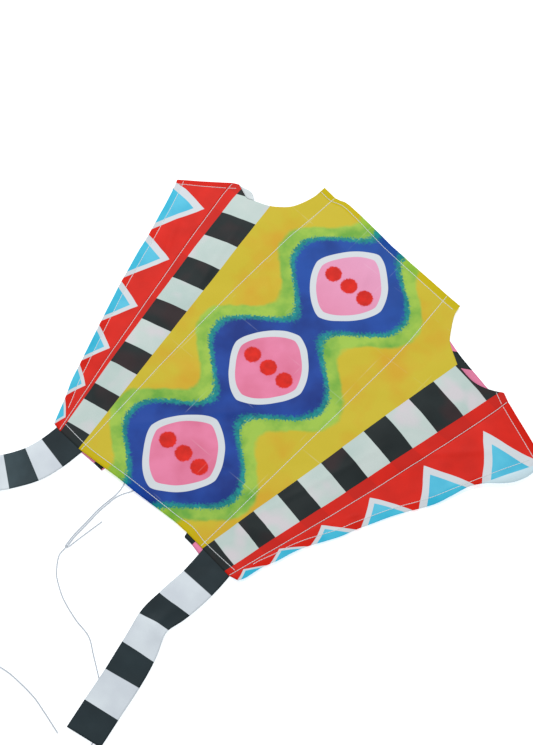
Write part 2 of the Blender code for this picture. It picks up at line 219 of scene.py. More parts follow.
PRINT = {
    "black": srgb(34, 42, 43), "brown_black": srgb(52, 42, 44), "white": srgb(200, 212, 208), "yellow": srgb(202, 183, 50),
    "gold": srgb(208, 166, 44), "lime": srgb(160, 196, 78), "green": srgb(108, 168, 66),
    "teal": srgb(28, 138, 138), "blue": srgb(34, 72, 158), "deep_blue": srgb(26, 52, 128),
    "bright_blue": srgb(38, 98, 186), "pale_pink": srgb(228, 160, 194),
    "pink": srgb(232, 132, 168), "deep_pink": srgb(218, 114, 146), "red": srgb(217, 38, 26),
    "deep_red": srgb(192, 36, 28), "sky": srgb(78, 186, 218), "pale_sky": srgb(98, 200, 228),
    "thread": srgb(240, 244, 246), "reverse": srgb(208, 217, 219), "lilac_white": srgb(210, 206, 210),
    "grey_white": srgb(184, 203, 198), "tail_white": srgb(218, 227, 233), "tail_grey": srgb(206, 214, 222),
    "ring_white": srgb(211, 217, 222),
    "tail_black": srgb(38, 50, 55), "faded_black": srgb(62, 77, 83), "cord": srgb(208, 215, 222), "cord_shade": srgb(168, 178, 190),
}


def floor_point(place, height=0.0):
    """The point of the frame that lies at (x, back) and a height above the floor."""
    return Vector((place[0], TRAILING_Y + place[1], height))


def add_camera():
    """The camera that looks at the kite as the photograph does."""
    back = Vector((math.sin(CAMERA_AZIMUTH) * math.cos(CAMERA_ELEVATION),
                   -math.cos(CAMERA_AZIMUTH) * math.cos(CAMERA_ELEVATION), math.sin(CAMERA_ELEVATION)))
    level_right = Vector((math.cos(CAMERA_AZIMUTH), math.sin(CAMERA_AZIMUTH), 0.0))
    level_up = back.cross(level_right)
    right = level_right * math.cos(CAMERA_ROLL) + level_up * math.sin(CAMERA_ROLL)
    up = back.cross(right)
    camera = bpy.data.objects.new("camera", bpy.data.cameras.new("camera"))
    eye = floor_point(CAMERA_TARGET) + back * CAMERA_DISTANCE
    turn = Matrix((right, up, back)).transposed().to_4x4()
    camera.matrix_world = Matrix.Translation(eye) @ turn
    camera.data.sensor_width = SENSOR_SIDE_MM
    camera.data.lens = FOCAL_LENGTH_PX / IMAGE_HEIGHT_PX * SENSOR_SIDE_MM
    camera.data.clip_start = 0.05
    bpy.context.scene.collection.objects.link(camera)
    bpy.context.scene.camera = camera


def smooth_line(places, spacing):
    """Places at an even spacing along a smooth curve through a line's own places."""
    points = [Vector((x, y, 0.0)) for x, y in places]
    tangents = []
    for index in range(len(points)):
        before = points[max(0, index - 1)]
        after = points[min(len(points) - 1, index + 1)]
        tangents.append((after - before).normalized())
    fine = []
    for index in range(len(points) - 1):
        reach = (points[index + 1] - points[index]).length / 3
        handle_out = points[index] + tangents[index] * reach
        handle_in = points[index + 1] - tangents[index + 1] * reach
        fine += interpolate_bezier(points[index], handle_out, handle_in, points[index + 1], 24)[:-1]
    fine.append(points[-1])
    fine = np.array([(point.x, point.y) for point in fine])
    return even_line(fine, spacing)


def even_line(fine, spacing, count=None):
    """A polyline's points, made again at an even spacing, or as a count of even steps."""
    lengths = np.concatenate(([0.0], np.cumsum(np.linalg.norm(np.diff(fine, axis=0), axis=1))))
    count = count or max(2, round(lengths[-1] / spacing))
    steps = np.linspace(0.0, lengths[-1], count + 1)
    return np.stack([np.interp(steps, lengths, fine[:, axis]) for axis in (0, 1)], axis=1)


class Finish:
    """A Principled material and short calls that add nodes to it."""

    def __init__(self, name, roughness, sheen=0.0, specular=0.35):
        self.material = bpy.data.materials.new(name)
        self.material.use_nodes = True
        self.nodes = self.material.node_tree.nodes
        self.links = self.material.node_tree.links
        self.shader = self.nodes["Principled BSDF"]
        self.shader.inputs["Roughness"].default_value = roughness
        self.shader.inputs["Sheen Weight"].default_value = sheen
        self.shader.inputs["Sheen Roughness"].default_value = 0.4
        self.shader.inputs["Specular IOR Level"].default_value = specular

    def put(self, socket, value):
        """Link a node's output to a socket, or set the socket's own value."""
        if isinstance(value, bpy.types.NodeSocket):
            self.links.new(value, socket)
        else:
            socket.default_value = value

    def math(self, operation, first, second=0.0, third=0.0):
        node = self.nodes.new("ShaderNodeMath")
        node.operation = operation
        self.put(node.inputs[0], first)
        self.put(node.inputs[1], second)
        self.put(node.inputs[2], third)
        return node.outputs[0]

    def attribute(self, name):
        node = self.nodes.new("ShaderNodeAttribute")
        node.attribute_name = name
        return node.outputs["Fac"]

    def position(self):
        return self.nodes.new("ShaderNodeTexCoord").outputs["Object"]

    def noise(self, scale, detail=2.0, stretch=(1.0, 1.0, 1.0)):
        mapping = self.nodes.new("ShaderNodeMapping")
        mapping.inputs["Scale"].default_value = stretch
        self.put(mapping.inputs["Vector"], self.position())
        node = self.nodes.new("ShaderNodeTexNoise")
        node.inputs["Scale"].default_value = scale
        node.inputs["Detail"].default_value = detail
        self.put(node.inputs["Vector"], mapping.outputs[0])
        return node.outputs["Fac"]

    def above(self, value, edge, softness=0.0):
        """1 where value is above edge and 0 where it is below, over a soft edge."""
        node = self.nodes.new("ShaderNodeMapRange")
        node.interpolation_type = "SMOOTHSTEP"
        self.put(node.inputs["Value"], value)
        if isinstance(edge, bpy.types.NodeSocket):
            self.put(node.inputs["From Min"], self.math("SUBTRACT", edge, softness + 1e-5))
            self.put(node.inputs["From Max"], self.math("ADD", edge, softness + 1e-5))
        else:
            node.inputs["From Min"].default_value = edge - softness - 1e-5
            node.inputs["From Max"].default_value = edge + softness + 1e-5
        return node.outputs["Result"]

    def span(self, value, low, high, to_low=0.0, to_high=1.0):
        """A value between low and high, as one between to_low and to_high."""
        node = self.nodes.new("ShaderNodeMapRange")
        self.put(node.inputs["Value"], value)
        node.inputs["From Min"].default_value = low
        node.inputs["From Max"].default_value = high
        node.inputs["To Min"].default_value = to_low
        node.inputs["To Max"].default_value = to_high
        return node.outputs["Result"]

    def mix(self, amount, first, second, kind="MIX"):
        node = self.nodes.new("ShaderNodeMix")
        node.data_type = "RGBA"
        node.blend_type = kind
        self.put(node.inputs[0], amount)
        self.put(node.inputs[6], first)
        self.put(node.inputs[7], second)
        return node.outputs[2]

    def weave_bump(self, strength=0.25, threads_per_metre=2600.0):
        """The fine plain weave of the cloth, with faint creases, as bump."""
        separate = self.nodes.new("ShaderNodeSeparateXYZ")
        self.put(separate.inputs[0], self.position())
        warp = self.math("SINE", self.math("MULTIPLY", separate.outputs[0], threads_per_metre))
        weft = self.math("SINE", self.math("MULTIPLY", separate.outputs[1], threads_per_metre))
        weave = self.math("MULTIPLY", warp, weft)
        crease = self.noise(38.0, 4.0)
        height = self.math("MULTIPLY_ADD", crease, 9.0, weave)
        bump = self.nodes.new("ShaderNodeBump")
        bump.inputs["Strength"].default_value = strength
        bump.inputs["Distance"].default_value = 0.00006
        self.put(bump.inputs["Height"], height)
        self.links.new(bump.outputs[0], self.shader.inputs["Normal"])

    def colour(self, value):
        self.put(self.shader.inputs["Base Color"], value)


def lay_of_cloth(x, back):
    """How much the loose cloth rises and falls, at places on the floor, from long soft ripples."""
    random = np.random.default_rng(7)
    total = np.zeros_like(x)
    for wavelength in np.geomspace(0.032, 0.30, 15):
        angle = random.uniform(0.0, math.pi)
        phase = random.uniform(0.0, 2.0 * math.pi)
        along = x * math.cos(angle) + back * math.sin(angle)
        beside = back * math.cos(angle) - x * math.sin(angle)
        bend = 0.7 * np.sin(beside * 2.0 * math.pi / (wavelength * 2.7) + phase)
        total += wavelength * RIPPLE_SLOPE * np.sin(along * 2.0 * math.pi / wavelength + phase + bend)
    for (x_start, back_start), (x_end, back_end), height, width in CREASES:
        run = np.array([x_end - x_start, back_end - back_start])
        length = np.linalg.norm(run)
        run = run / length
        along = (x - x_start) * run[0] + (back - back_start) * run[1]
        beside = (back - back_start) * run[0] - (x - x_start) * run[1]
        fade = np.clip(along / length, 0.0, 1.0)
        fade = np.where((along > 0.0) & (along < length), np.sin(fade * math.pi) ** 0.6, 0.0)
        total += height * fade * np.exp(-(beside / width) ** 2)
    return total


RIPPLE_SLOPE = 0.0027
# Soft creases in the cloth: from, to, height and half-width.
CREASES = [
    ((-0.020, 0.520), (0.060, 0.300), 0.0009, 0.006),
    ((0.090, 0.180), (-0.060, 0.330), 0.0008, 0.007),
    ((-0.100, 0.060), (0.020, 0.200), 0.0008, 0.006),
    ((0.120, 0.060), (0.200, 0.300), 0.0007, 0.005),
    ((-0.150, 0.400), (-0.060, 0.330), 0.0009, 0.006),
    ((0.230, 0.300), (0.320, 0.390), 0.0010, 0.006),
    ((0.190, 0.110), (0.260, 0.230), 0.0007, 0.005),
    ((-0.290, 0.390), (-0.220, 0.250), 0.0010, 0.006),
    ((-0.200, 0.430), (-0.160, 0.250), 0.0008, 0.005),
    ((-0.170, -0.040), (-0.140, -0.100), 0.0010, 0.006),
    ((0.120, -0.110), (0.155, -0.125), 0.0022, 0.007),
    ((0.150, -0.210), (0.165, -0.250), 0.0008, 0.005),
]

def make_cloth(name, points, attributes, materials):
    """A thin sheet of cloth from a grid of points on its printed face, with values at each point."""
    rows, columns = points.shape[:2]
    mesh = bpy.data.meshes.new(name)
    corner = np.arange(rows * columns).reshape(rows, columns)
    faces = np.stack([corner[:-1, :-1], corner[:-1, 1:], corner[1:, 1:], corner[1:, :-1]], axis=-1)
    mesh.from_pydata(points.reshape(-1, 3).tolist(), [], faces.reshape(-1, 4).tolist())
    for attribute, values in attributes.items():
        layer = mesh.attributes.new(attribute, "FLOAT", "POINT")
        layer.data.foreach_set("value", values.reshape(-1).astype(np.float32))
    mesh.shade_smooth()
    for material in materials:
        mesh.materials.append(material)
    piece = bpy.data.objects.new(name, mesh)
    bpy.context.scene.collection.objects.link(piece)
    solidify = piece.modifiers.new("cloth thickness", "SOLIDIFY")
    solidify.thickness = CLOTH_THICKNESS
    solidify.offset = -1.0
    solidify.material_offset = 1
    return piece


def fold_under(points, attributes, depth, at_start):
    """Continue a grid past its first or last row, folded back under itself as a hem."""
    edge, inner = (points[0], points[3]) if at_start else (points[-1], points[-4])
    inward = inner - edge
    inward[:, 2] = 0.0
    inward = inward / np.maximum(np.linalg.norm(inward, axis=1, keepdims=True), 1e-9)
    depth = np.broadcast_to(np.asarray(depth, float), (len(edge),))[:, None]
    folded = []
    from_edge = np.linalg.norm(points[..., :2] - edge[None, :, :2], axis=-1)
    over_hem = from_edge < depth[None, :, 0] + 0.0035
    lowest = np.where(over_hem, points[..., 2], 1.0).min(axis=0) - 0.00045
    for reach, drop in ((-0.00025, 0.0003), (0.0000, 0.00062), (0.0030, 0.00070), (1.0, 0.00070)):
        step = depth if reach == 1.0 else np.minimum(reach, depth)
        row = edge + inward * step
        row[:, 2] = np.maximum(np.where(reach > 0.0, np.minimum(edge[:, 2] - drop, lowest), edge[:, 2] - drop), 0.00012)
        folded.append(row)
    folded = np.array(folded)
    extra = {name: np.repeat(values[:1] if at_start else values[-1:], len(folded), axis=0)
             for name, values in attributes.items()}
    extra["hem"] = np.ones(folded.shape[:2])
    if at_start:
        grown = np.concatenate([folded[::-1], points])
        merged = {name: np.concatenate([extra[name], attributes[name]]) for name in attributes}
    else:
        grown = np.concatenate([points, folded])
        merged = {name: np.concatenate([attributes[name], extra[name]]) for name in attributes}
    return grown, merged


def turned(points, attributes):
    """The same grid with its rows and columns exchanged."""
    return points.swapaxes(0, 1), {name: values.swapaxes(0, 1) for name, values in attributes.items()}


def seam_places(side, seam):
    """A seam's foot and lead, as arrays."""
    return np.array(CORNERS[side][f"{seam}_foot"]), np.array(CORNERS[side][f"{seam}_lead"])


def seam_shift(side, seam, share):
    """How far a seam lies outside a straight line, at shares of its length, as (x, back)."""
    foot, lead = seam_places(side, seam)
    run = (lead - foot) / np.linalg.norm(lead - foot)
    outward = np.array([run[1], -run[0]]) * (-1.0 if side == "left" else 1.0)
    return np.interp(share, *SEAM_BOW[side, seam])[..., None] * outward


def inside_seam(side, seam, x, back):
    """How far places are inward from a seam as it lies, negative outside it."""
    foot, lead = seam_places(side, seam)
    length = np.linalg.norm(lead - foot)
    run = (lead - foot) / length
    beside = ((back - foot[1]) * run[0] - (x - foot[0]) * run[1]) * (1.0 if side == "right" else -1.0)
    along = ((x - foot[0]) * run[0] + (back - foot[1]) * run[1]) / length
    return beside + np.interp(along, *SEAM_BOW[side, seam])


def pucker(distance, along, seed):
    """The small gathers that a line of stitches draws into the cloth beside it."""
    wave = np.sin(along * 2.0 * math.pi / 0.0083 + 1.7 * np.sin(along * 61.0 + seed))
    swell = 0.6 + 0.4 * np.sin(along * 37.0 + seed * 2.0)
    return 0.00016 * wave * swell * np.exp(-(distance / 0.006) ** 2) - 0.00026 * np.exp(-(distance / 0.0016) ** 2)


def band_columns(side):
    """The columns of one cell's top sheet, from the centre seam out to the keel seam.

    Each column is a foot at the trailing edge, a lead at the air inlet, and a number that says
    which band it is in: 1 to 2 yellow, 2 to 3 striped, 3 to 4 red.
    """
    corners = CORNERS[side]
    sign = -1.0 if side == "left" else 1.0
    foot_run = np.array(corners["seam_foot"]) - np.array(corners["centre_foot"])
    foot_run = foot_run / np.linalg.norm(foot_run)
    yellow_foot = np.array(corners["centre_foot"]) + foot_run * YELLOW_FOOT_WIDTH
    red_foot = np.array(corners["seam_foot"]) - foot_run * RED_STRIP_FOOT_WIDTH[side]
    scallop = smooth_line([corners["hem_end"]] + INLET_EDGES[side], 0.0006)
    rim = even_line(np.array([INLET_EDGES[side][-1], corners["seam_lead"]]), 0.0006)
    scallop = np.concatenate([scallop, rim[1:]])
    yellow_end = int(np.argmin(np.linalg.norm(scallop - np.array(YELLOW_EDGE_LEAD[side]), axis=1)))
    from_seam = np.linalg.norm(scallop - np.array(corners["seam_lead"]), axis=1)
    red_start = int(np.argmin(np.abs(from_seam - RED_STRIP_LEAD_WIDTH)))
    hem = even_line(np.array([corners["centre_lead"], corners["hem_end"]]), GRID_STEP)
    stretches = [
        (np.concatenate([hem[:-1], even_line(scallop[:yellow_end + 1], GRID_STEP)]),
         np.array(corners["centre_foot"]), yellow_foot, 1.0),
        (even_line(scallop[yellow_end:red_start + 1], GRID_STEP), yellow_foot, red_foot, 2.0),
        (even_line(scallop[red_start:], GRID_STEP), red_foot, np.array(corners["seam_foot"]), 3.0),
    ]
    feet, leads, bands = [], [], []
    for lead, start, end, band in stretches:
        share = np.linspace(0.0, 1.0, len(lead))
        keep = slice(1, None) if leads else slice(None)
        feet.append((start + (end - start) * share[:, None])[keep])
        leads.append(lead[keep])
        bands.append((sign * (band + share))[keep])
    return np.concatenate(feet), np.concatenate(leads), np.concatenate(bands)


def block_number(side, back, edge_share):
    """Which block of a striped band a place is in, counted from the air inlet.

    edge_share is 0 beside the red strip and 1 beside the yellow band.
    """
    at_foot, growth = BLOCK_SLANT[side]
    beside_yellow = back + (at_foot + growth * back) * (0.88 - edge_share) / 0.76
    edges = np.array(BLOCK_EDGES[side])
    return np.interp(-beside_yellow, -edges, np.arange(len(edges)) - 1.0)


def canopy_grid():
    """The printed face of the canopy: the centre and both cells' top sheets as one sheet."""
    left_feet, left_leads, left_bands = band_columns("left")
    right_feet, right_leads, right_bands = band_columns("right")
    count = round(0.228 / GRID_STEP)
    share = np.linspace(0.0, 1.0, count + 1)[1:-1, None]
    centre_feet = left_feet[0] + (right_feet[0] - left_feet[0]) * share
    centre_leads = left_leads[0] + (right_leads[0] - left_leads[0]) * share
    centre_feet[:, 1] += np.interp(centre_feet[:, 0], *FOOT_BOW)
    centre_leads[:, 1] += np.interp(centre_leads[:, 0], *LEAD_BOW)
    feet = np.concatenate([left_feet[::-1], centre_feet, right_feet])
    leads = np.concatenate([left_leads[::-1], centre_leads, right_leads])
    bands = np.concatenate([left_bands[::-1], share[:, 0] * 2.0 - 1.0, right_bands])
    rows = round(LEADING_BACK / GRID_STEP)
    reach = np.linspace(0.0, 1.0, rows + 1)[:, None, None]
    flat = feet + (leads - feet) * reach
    band = np.broadcast_to(bands, flat.shape[:2])
    for side, sign in (("left", -1.0), ("right", 1.0)):
        with_keel = np.clip(band * sign - BOW_STARTS_AT_BAND[side], 0.0, 1.0)
        foot, lead = seam_places(side, "centre")
        run = (lead - foot) / np.linalg.norm(lead - foot)
        beside = np.abs((flat[..., 1] - foot[1]) * run[0] - (flat[..., 0] - foot[0]) * run[1])
        reach_of_bow = YELLOW_FOOT_WIDTH + BOW_REACH[side] * reach[..., 0]
        with_centre = np.clip(1.0 - beside / reach_of_bow, 0.0, 1.0)
        flat = flat + seam_shift(side, "seam", reach[..., 0]) * with_keel[..., None]
        flat = flat + seam_shift(side, "centre", reach[..., 0]) * with_centre[..., None]
    x, back = flat[..., 0], flat[..., 1]
    reach = np.broadcast_to(reach[..., 0], x.shape)
    z = CLOTH_HEIGHT + lay_of_cloth(x, back)
    for side, sign in (("left", -1.0), ("right", 1.0)):
        from_centre = np.maximum(-inside_seam(side, "centre", x, back), 0.0)
        from_keel = np.maximum(inside_seam(side, "seam", x, back), 0.0)
        across = from_centre / np.maximum(from_centre + from_keel, 1e-6)
        arch = np.sin(across ** 1.35 * math.pi) ** 0.9
        z += np.where(band * sign > 1.0, CELL_PUFF[side] * reach ** 0.9 * arch, 0.0)
    for side in ("left", "right"):
        z += pucker(np.abs(inside_seam(side, "centre", x, back)), back, 1.0)
        z += pucker(np.abs(inside_seam(side, "seam", x, back)), back, 4.0)
    to_edge = reach * np.linalg.norm(leads - feet, axis=1)
    to_lead = (1.0 - reach) * np.linalg.norm(leads - feet, axis=1)
    z += pucker(np.abs(to_edge - HEM_WIDTH), x, 2.0)
    on_lead_hem = np.abs(bands) <= bands_at_hem_end(bands, leads)
    z += np.where(on_lead_hem, pucker(np.abs(to_lead - HEM_WIDTH), x, 3.0), 0.0)
    hem = np.where((to_edge < HEM_WIDTH) | ((to_lead < HEM_WIDTH) & on_lead_hem), 1.0, 0.0)
    z = np.maximum(z, LOWEST_TOP)
    points = np.stack([x, TRAILING_Y + back, z], axis=-1)
    edge_share = np.clip(3.0 - np.abs(band), 0.0, 1.0)
    block = np.where(band < 0.0, block_number("left", back, edge_share), block_number("right", back, edge_share))
    attributes = {
        "band": band.copy(), "hem": hem, "side_way": x + 0.0055 + 0.0047 * reach, "back": back.copy(),
        "block": block,
    }
    on_hem = np.where(on_lead_hem, HEM_WIDTH, 0.004)
    points, attributes = fold_under(points, attributes, on_hem, False)
    return fold_under(points, attributes, HEM_WIDTH * 0.8, True)


# How much further forward the centre's trailing edge lies than a straight line: at x, and by how much.
FOOT_BOW = ([-0.1150, -0.0694, -0.0470, -0.0191, 0.0391, 0.0534, 0.0762, 0.1041],
            [0.0, 0.0016, 0.0024, 0.0021, 0.0042, 0.0046, 0.0033, 0.0])


# How much further forward the centre's leading edge lies than a straight line: at x, and by how much.
LEAD_BOW = ([-0.1225, -0.1136, -0.1080, -0.1002, -0.0738, -0.0554, -0.0371, -0.0048, 0.0300, 0.1065],
            [0.0, 0.0026, 0.0054, 0.0066, 0.0061, 0.0049, 0.0035, 0.0015, 0.0006, 0.0])


def bands_at_hem_end(bands, leads):
    """The band number of the column that stands at each column's own end of the leading hem."""
    limits = np.zeros_like(bands)
    for side, sign in (("left", -1.0), ("right", 1.0)):
        mine = bands * sign > 0.0
        gap = np.linalg.norm(leads - np.array(CORNERS[side]["hem_end"]), axis=1)
        gap = np.where(mine, gap, 9.0)
        limits[mine] = abs(bands[int(np.argmin(gap))]) + 1e-6
    return limits


def keel_grid(side):
    """The printed face of a keel, with its outer and leading edges hemmed."""
    corners = {name: np.array(place) for name, place in CORNERS[side].items()}
    rows = round(0.46 / GRID_STEP)
    columns = round(0.098 / GRID_STEP)
    along = np.linspace(0.0, 1.0, rows + 1)[:, None, None]
    across = np.linspace(0.0, 1.0, columns + 1)[None, :, None]
    seam = corners["seam_foot"] + (corners["seam_lead"] - corners["seam_foot"]) * along
    seam = seam + seam_shift(side, "seam", along[..., 0])
    outer = even_line(smooth_line(KEEL_EDGES[side], 0.0006), None, rows)[:, None, :]
    flat = seam + (outer - seam) * across
    x, back = flat[..., 0], flat[..., 1]
    along = np.broadcast_to(along[..., 0], x.shape)
    across = np.broadcast_to(across[..., 0], x.shape)
    width = np.linalg.norm(outer - seam, axis=-1)
    z = CLOTH_HEIGHT + lay_of_cloth(x, back)
    z += pucker(np.abs(inside_seam(side, "seam", x, back)), back, 4.0)
    to_outer = (1.0 - across) * width
    to_lead = (1.0 - along) * 0.46
    z += pucker(np.abs(to_outer - HEM_WIDTH), back, 5.0) + pucker(np.abs(to_lead - HEM_WIDTH), x, 6.0)
    z = np.maximum(z, LOWEST_TOP)
    points = np.stack([x, TRAILING_Y + back, z], axis=-1)
    hem = np.where((to_outer < HEM_WIDTH) | (to_lead < HEM_WIDTH), 1.0, 0.0)
    start, end = np.array(ROLLED_HEM)
    run = (end - start) / np.linalg.norm(end - start)
    rolled = (x - start[0]) * run[1] - (back - start[1]) * run[0]
    rolled = np.where((back > ROLL_STARTS_BACK) & (side == "right"), rolled, -0.01)
    z += np.where(rolled > 0.0, 0.0012 * np.sin(np.clip(rolled / 0.012, 0.0, 1.0) * math.pi), 0.0)
    points[..., 2] = np.maximum(z, LOWEST_TOP)
    cell = (0.24 - np.sqrt(np.maximum(0.0576 - 0.048 * (1.0 - along), 0.0))) / 0.024
    attributes = {"hem": hem, "across": across.copy(), "cell": cell, "back": back.copy(), "rolled": rolled}
    points, attributes = fold_under(points, attributes, HEM_WIDTH, False)
    points, attributes = turned(points, attributes)
    depth = np.minimum(HEM_WIDTH, 0.6 * np.concatenate([width[:, 0], np.full(4, width[-1, 0])]))
    points, attributes = fold_under(points, attributes, depth, False)
    points, attributes = turned(points, attributes)
    if side == "left":
        points = points[:, ::-1]
        attributes = {name: values[:, ::-1] for name, values in attributes.items()}
    return points, attributes


def tail_grid(side):
    """The printed face of a tail, from under the trailing hem to its free end."""
    line = smooth_line(TAIL_LINES[side], GRID_STEP)
    tangent = np.gradient(line, axis=0)
    tangent = tangent / np.linalg.norm(tangent, axis=1, keepdims=True)
    outward = np.stack([-tangent[:, 1], tangent[:, 0]], axis=1)
    columns = round(TAIL_WIDTH / GRID_STEP)
    offset = np.linspace(-0.5, 0.5, columns + 1)
    distance = np.arange(len(line)) * GRID_STEP
    width = TAIL_WIDTH * (1.0 - TAIL_PINCH[side] * np.exp(-((distance - 0.137) / 0.032) ** 2))
    square = np.clip(1.0 - (distance - 0.010) / 0.03, 0.0, 1.0)[:, None]
    foot, seam = np.array(CORNERS[side]["centre_foot"]), np.array(CORNERS[side]["seam_foot"])
    edge_run = (seam - foot) / np.linalg.norm(seam - foot) * (-1.0 if side == "left" else 1.0)
    outward = outward * (1.0 - square) + edge_run * square
    outward = outward / np.linalg.norm(outward, axis=1, keepdims=True)
    flat = line[:, None, :] + outward[:, None, :] * (offset[None, :, None] * width[:, None, None])
    x, back = flat[..., 0], flat[..., 1]
    z = TAIL_HEIGHT + lay_of_cloth(x, back)
    pinched = (width / TAIL_WIDTH)[:, None]
    z += 0.004 * (1.0 - pinched) ** 0.5 * np.exp(-((offset[None, :] - 0.12) / 0.16) ** 2)
    z = np.maximum(z, TAIL_HEIGHT - 0.0002)
    z = np.where(distance[:, None] < 0.012, TAIL_HEIGHT - 0.0002, z)
    points = np.stack([x, TRAILING_Y + back, z], axis=-1)
    edges, lean = TAIL_BLOCKS[side]
    leaning = distance[:, None] - np.interp(distance, edges, lean)[:, None] * (offset[None, :] * TAIL_WIDTH)
    number = np.interp(leaning, edges, np.arange(len(edges)))
    faded = TAIL_FADE[side] * np.clip((distance - 0.060) / 0.030, 0.0, 1.0)[:, None] + 0.0 * x
    attributes = {"hem": np.zeros_like(x), "block": number, "back": back.copy(), "faded": faded}
    return points[:, ::-1], {name: values[:, ::-1] for name, values in attributes.items()}


TAIL_FADE = {"left": 1.0, "right": 0.0}
TAIL_PINCH = {"left": 0.0, "right": 0.14}


def lower_grid(side):
    """The face of a cell's lower sheet, which shows at the air inlet and under the canopy."""
    corners = CORNERS[side]
    sign = -1.0 if side == "left" else 1.0
    leads = smooth_line(LOWER_EDGES[side], GRID_STEP * 1.5)
    share = np.linspace(0.0, 1.0, len(leads))[:, None]
    tab = np.array(LOWER_TABS[side])
    outer = np.array(corners["seam_foot"])
    on_tab = 0.5
    along_tab = np.interp(share[:, 0], np.linspace(0.0, on_tab, len(tab)), np.arange(len(tab)))
    feet = np.stack([np.interp(along_tab, np.arange(len(tab)), tab[:, axis]) for axis in (0, 1)], axis=1)
    past = np.clip((share - on_tab) / (1.0 - on_tab), 0.0, 1.0)
    feet = np.where(share <= on_tab, feet, tab[-1] + (outer + (0.0, 0.003) - tab[-1]) * past)
    rows = round(LEADING_BACK / (GRID_STEP * 1.5))
    reach = np.linspace(0.0, 1.0, rows + 1)[:, None, None]
    flat = feet + (leads - feet) * reach
    x, back = flat[..., 0], flat[..., 1]
    z = LOWER_HEIGHT - 0.0010 * np.exp(-np.maximum(back, 0.0) / 0.016)
    points = np.stack([x, TRAILING_Y + back, z], axis=-1)
    at_lead = 0.5 + (np.abs(x) - 0.1748 - 1.7 * (back - 0.4644)) / 0.0954
    at_foot = np.interp(np.abs(x), *LOWER_FOOT_PRINT[side])
    stripe = np.where(reach[..., 0] > 0.5, at_lead, at_foot)
    attributes = {"hem": np.zeros_like(x), "stripe": stripe.copy(), "back": back.copy()}
    if side == "left":
        points = points[:, ::-1]
        attributes = {name: values[:, ::-1] for name, values in attributes.items()}
    return points, attributes


# Where the lower sheets' feet show behind the trailing edge, and their print there: at x, how many
# stripes there are up to it.
LOWER_TABS = {
    "left": [(-0.0700, 0.0060), (-0.0724, -0.0063), (-0.0866, -0.0058), (-0.1165, -0.0063), (-0.1190, 0.0060)],
    "right": [(0.0760, 0.0120), (0.0780, 0.0005), (0.0927, -0.0004), (0.1112, -0.0042), (0.1130, 0.0100)],
}
LOWER_FOOT_PRINT = {
    "left": ([0.0600, 0.0876, 0.1230, 0.1600], [0.0, 1.0, 1.5, 2.0]),
    "right": ([0.0600, 0.0930, 0.1230, 0.1600], [0.0, 1.0, 1.5, 2.0]),
}


def crayon(finish, scale=330.0):
    """The grain of a crayon or chalk edge, between -1 and 1."""
    return finish.math("MULTIPLY_ADD", finish.noise(scale, 3.0), 2.0, -1.0)


def blotch(finish, colour, amount=0.14, scale=22.0):
    """A printed colour with the soft cloudiness of a painted ground."""
    cloud = finish.span(finish.noise(scale, 3.0), 0.3, 0.7, 1.0 - amount, 1.0 + amount * 0.55)
    grey = finish.nodes.new("ShaderNodeCombineColor")
    for index in range(3):
        finish.put(grey.inputs[index], cloud)
    return finish.mix(1.0, colour, grey.outputs[0], "MULTIPLY")


def finish_cloth(finish, colour):
    """Set a print's colour on a material, with painted shade on the hems: darker and fuller where the doubled cloth
    lets less light through.
    """
    hem = finish.attribute("hem")
    # Painted shade: the doubled hems are made darker and fuller, because less light comes through them.
    hem_painted_shade = finish.nodes.new("ShaderNodeHueSaturation")
    for index, value in enumerate((0.5, 1.07, 0.94)):
        hem_painted_shade.inputs[index].default_value = value
    finish.put(hem_painted_shade.inputs[3], hem)
    finish.put(hem_painted_shade.inputs[4], colour)
    finish.colour(hem_painted_shade.outputs[0])
    finish.weave_bump()


def block_colours(finish):
    """Black and white blocks along a band, with a slightly hand-drawn edge."""
    wobble = finish.math("MULTIPLY_ADD", finish.noise(28.0, 1.0), 0.06, -0.03)
    number = finish.math("ADD", finish.attribute("block"), wobble)
    half = finish.math("FRACT", finish.math("MULTIPLY", number, 0.5))
    white = finish.math("SUBTRACT", 1.0, finish.above(half, 0.5, 0.004))
    starts_white = finish.above(half, 0.0, 0.004)
    white = finish.math("MULTIPLY", white, starts_white)
    pale = finish.mix(finish.span(finish.noise(14.0, 3.0), 0.35, 0.65), PRINT["white"], PRINT["grey_white"])
    pale = finish.mix(finish.span(finish.noise(19.0, 2.0), 0.52, 0.66), pale, PRINT["lilac_white"])
    dark = finish.mix(finish.span(finish.noise(15.0, 2.0), 0.50, 0.64), PRINT["black"], PRINT["brown_black"])
    return finish.mix(white, blotch(finish, dark, 0.2), pale), white


